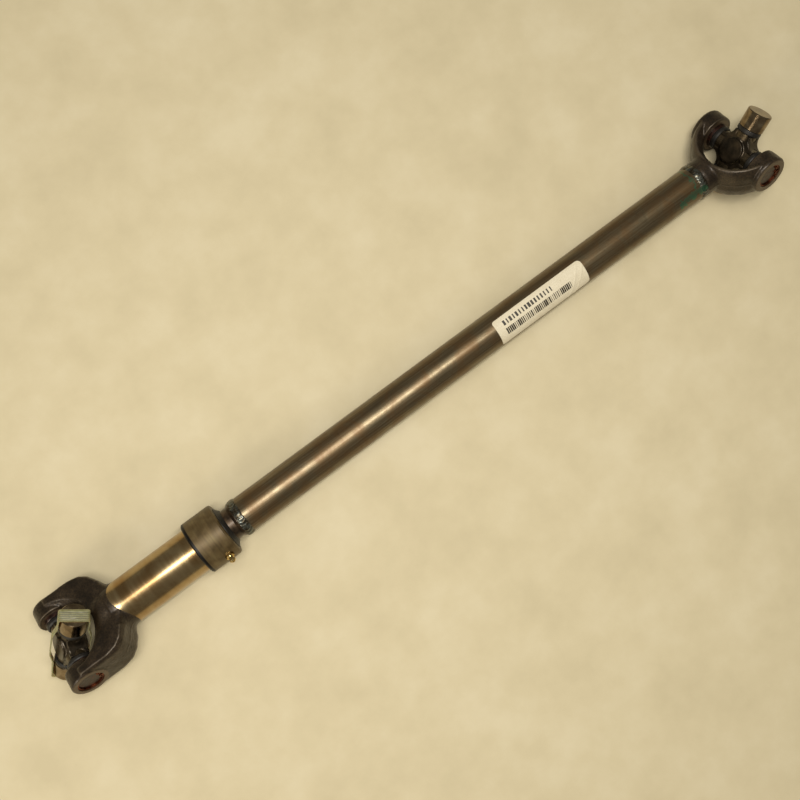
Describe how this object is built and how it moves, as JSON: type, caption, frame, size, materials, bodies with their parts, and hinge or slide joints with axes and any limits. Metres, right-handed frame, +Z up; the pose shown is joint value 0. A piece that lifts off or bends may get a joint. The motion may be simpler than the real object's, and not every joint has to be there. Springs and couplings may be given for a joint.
{
  "type": "universal joint shaft",
  "caption": "Telescoping tubular shaft with a forged yoke, cross and needle bearing cups at each end.",
  "frame": {"origin": "centre of the slip joint, where the shaft axis meets the ear axis", "axes": "+X along the shaft from the slip joint to the fixed joint, +Z up from the surface that the shaft lies on"},
  "size_m": [0.9301, 0.1034, 0.0844],
  "materials": {
    "tube_steel": "drawn tube, dark oiled oxide",
    "forged_steel": "as forged, dark oiled scale, turned where it is machined",
    "cross_steel": "forged and ground, oiled",
    "stub_steel": "turned, lightly rusted",
    "weld_metal": "rippled weld, part painted",
    "turned_steel": "fine turned, matt, olive brown tint",
    "plate_steel": "pressed plate",
    "cup_steel": "ground and polished, thin oil film",
    "bearing_steel": "ground",
    "spring_steel": "copper washed spring steel",
    "nipple_brass": "bright plated",
    "seal_rubber": "matt black nitrile",
    "washer_nylon": "moulded nylon",
    "strap_nylon": "ribbed pale strapping",
    "label_paper": "matt coated paper"
  },
  "bodies": {
    "tube_shaft": {"shaft_tube": "tube_steel", "weld_yoke": "forged_steel", "spline_stub": "stub_steel", "weld_bead_stub": "weld_metal", "weld_bead_yoke": "weld_metal", "part_label": "label_paper", "fixed_cup_ear_upper": "cup_steel", "fixed_seal_ear_upper": "seal_rubber", "fixed_washer_ear_upper": "washer_nylon", "fixed_snap_ring_upper": "spring_steel", "fixed_cup_ear_lower": "cup_steel", "fixed_seal_ear_lower": "seal_rubber", "fixed_washer_ear_lower": "washer_nylon", "fixed_snap_ring_lower": "spring_steel"},
    "slip_sleeve": {"slip_yoke": "forged_steel", "dust_cap": "turned_steel", "dust_seal": "seal_rubber", "seal_washer": "plate_steel", "grease_nipple": "nipple_brass", "nipple_spring": "spring_steel", "core_plug": "plate_steel", "slip_cup_ear_upper": "cup_steel", "slip_seal_ear_upper": "seal_rubber", "slip_washer_ear_upper": "washer_nylon", "slip_snap_ring_upper": "spring_steel", "slip_cup_ear_lower": "cup_steel", "slip_seal_ear_lower": "seal_rubber", "slip_washer_ear_lower": "washer_nylon", "slip_snap_ring_lower": "spring_steel"},
    "slip_spider": {"slip_cross": "cross_steel", "cup_strap": "strap_nylon"},
    "fixed_spider": {"fixed_cross": "cross_steel"},
    "slip_free_cup_upper": {"slip_cup_free_upper": "cup_steel", "slip_seal_free_upper": "seal_rubber", "slip_washer_free_upper": "washer_nylon"},
    "slip_ear_rollers_upper": {"slip_needles_ear_upper": "bearing_steel"},
    "slip_free_rollers_upper": {"slip_needles_free_upper": "bearing_steel"},
    "slip_free_cup_lower": {"slip_cup_free_lower": "cup_steel", "slip_seal_free_lower": "seal_rubber", "slip_washer_free_lower": "washer_nylon"},
    "slip_ear_rollers_lower": {"slip_needles_ear_lower": "bearing_steel"},
    "slip_free_rollers_lower": {"slip_needles_free_lower": "bearing_steel"},
    "fixed_free_cup_upper": {"fixed_cup_free_upper": "cup_steel", "fixed_seal_free_upper": "seal_rubber", "fixed_washer_free_upper": "washer_nylon"},
    "fixed_ear_rollers_upper": {"fixed_needles_ear_upper": "bearing_steel"},
    "fixed_free_rollers_upper": {"fixed_needles_free_upper": "bearing_steel"},
    "fixed_free_cup_lower": {"fixed_cup_free_lower": "cup_steel", "fixed_seal_free_lower": "seal_rubber", "fixed_washer_free_lower": "washer_nylon"},
    "fixed_ear_rollers_lower": {"fixed_needles_ear_lower": "bearing_steel"},
    "fixed_free_rollers_lower": {"fixed_needles_free_lower": "bearing_steel"},
    "nipple_check": {"nipple_ball": "bearing_steel"}
  },
  "joints": [
    {"name": "telescope", "type": "slide", "parent": "tube_shaft", "child": "slip_sleeve", "axis": [-1, 0, 0], "range_m": [-0.006, 0.06]},
    {"name": "slip_cross_tilt", "type": "hinge", "parent": "slip_sleeve", "child": "slip_spider", "pos_m": [0, 0, 0], "axis": [0, 0.866, -0.5], "range_deg": [-71.7, 2.3]},
    {"name": "slip_free_cup_upper_spin", "type": "hinge", "parent": "slip_spider", "child": "slip_free_cup_upper", "pos_m": [0, 0, 0], "axis": [0.5693, 0.4111, 0.712], "continuous": true},
    {"name": "slip_ear_rollers_upper_roll", "type": "hinge", "parent": "slip_sleeve", "child": "slip_ear_rollers_upper", "pos_m": [0, 0, 0], "axis": [0, 0.866, -0.5], "range_deg": [-31.4, 1.2]},
    {"name": "slip_free_rollers_upper_roll", "type": "hinge", "parent": "slip_spider", "child": "slip_free_rollers_upper", "pos_m": [0, 0, 0], "axis": [0.5693, 0.4111, 0.712], "continuous": true},
    {"name": "slip_free_cup_lower_spin", "type": "hinge", "parent": "slip_spider", "child": "slip_free_cup_lower", "pos_m": [0, 0, 0], "axis": [-0.5693, -0.4111, -0.712], "continuous": true},
    {"name": "slip_ear_rollers_lower_roll", "type": "hinge", "parent": "slip_sleeve", "child": "slip_ear_rollers_lower", "pos_m": [0, 0, 0], "axis": [0, 0.866, -0.5], "range_deg": [-31.4, 1.2]},
    {"name": "slip_free_rollers_lower_roll", "type": "hinge", "parent": "slip_spider", "child": "slip_free_rollers_lower", "pos_m": [0, 0, 0], "axis": [-0.5693, -0.4111, -0.712], "continuous": true},
    {"name": "fixed_cross_tilt", "type": "hinge", "parent": "tube_shaft", "child": "fixed_spider", "pos_m": [0.8496, 0, 0], "axis": [0, 0.866, -0.5], "range_deg": [-86.1, 3.9]},
    {"name": "fixed_free_cup_upper_spin", "type": "hinge", "parent": "fixed_spider", "child": "fixed_free_cup_upper", "pos_m": [0.8496, 0, 0], "axis": [0.6574, 0.3768, 0.6526], "continuous": true},
    {"name": "fixed_ear_rollers_upper_roll", "type": "hinge", "parent": "tube_shaft", "child": "fixed_ear_rollers_upper", "pos_m": [0.8496, 0, 0], "axis": [0, 0.866, -0.5], "range_deg": [-37.7, 1.9]},
    {"name": "fixed_free_rollers_upper_roll", "type": "hinge", "parent": "fixed_spider", "child": "fixed_free_rollers_upper", "pos_m": [0.8496, 0, 0], "axis": [0.6574, 0.3768, 0.6526], "continuous": true},
    {"name": "fixed_free_cup_lower_spin", "type": "hinge", "parent": "fixed_spider", "child": "fixed_free_cup_lower", "pos_m": [0.8496, 0, 0], "axis": [-0.6574, -0.3768, -0.6526], "continuous": true},
    {"name": "fixed_ear_rollers_lower_roll", "type": "hinge", "parent": "tube_shaft", "child": "fixed_ear_rollers_lower", "pos_m": [0.8496, 0, 0], "axis": [0, 0.866, -0.5], "range_deg": [-37.7, 1.9]},
    {"name": "fixed_free_rollers_lower_roll", "type": "hinge", "parent": "fixed_spider", "child": "fixed_free_rollers_lower", "pos_m": [0.8496, 0, 0], "axis": [-0.6574, -0.3768, -0.6526], "continuous": true},
    {"name": "nipple_check_press", "type": "slide", "parent": "slip_sleeve", "child": "nipple_check", "axis": [0, 0.8192, -0.5736], "range_m": [0, 0.0006]}
  ],
  "couplings": [
    {"joint": "slip_ear_rollers_upper_roll", "follows": "slip_cross_tilt", "ratio": 0.4352},
    {"joint": "slip_free_rollers_upper_roll", "follows": "slip_free_cup_upper_spin", "ratio": 0.5648},
    {"joint": "slip_ear_rollers_lower_roll", "follows": "slip_cross_tilt", "ratio": 0.4352},
    {"joint": "slip_free_rollers_lower_roll", "follows": "slip_free_cup_lower_spin", "ratio": 0.5648},
    {"joint": "fixed_ear_rollers_upper_roll", "follows": "fixed_cross_tilt", "ratio": 0.4352},
    {"joint": "fixed_free_rollers_upper_roll", "follows": "fixed_free_cup_upper_spin", "ratio": 0.5648},
    {"joint": "fixed_ear_rollers_lower_roll", "follows": "fixed_cross_tilt", "ratio": 0.4352},
    {"joint": "fixed_free_rollers_lower_roll", "follows": "fixed_free_cup_lower_spin", "ratio": 0.5648}
  ]
}
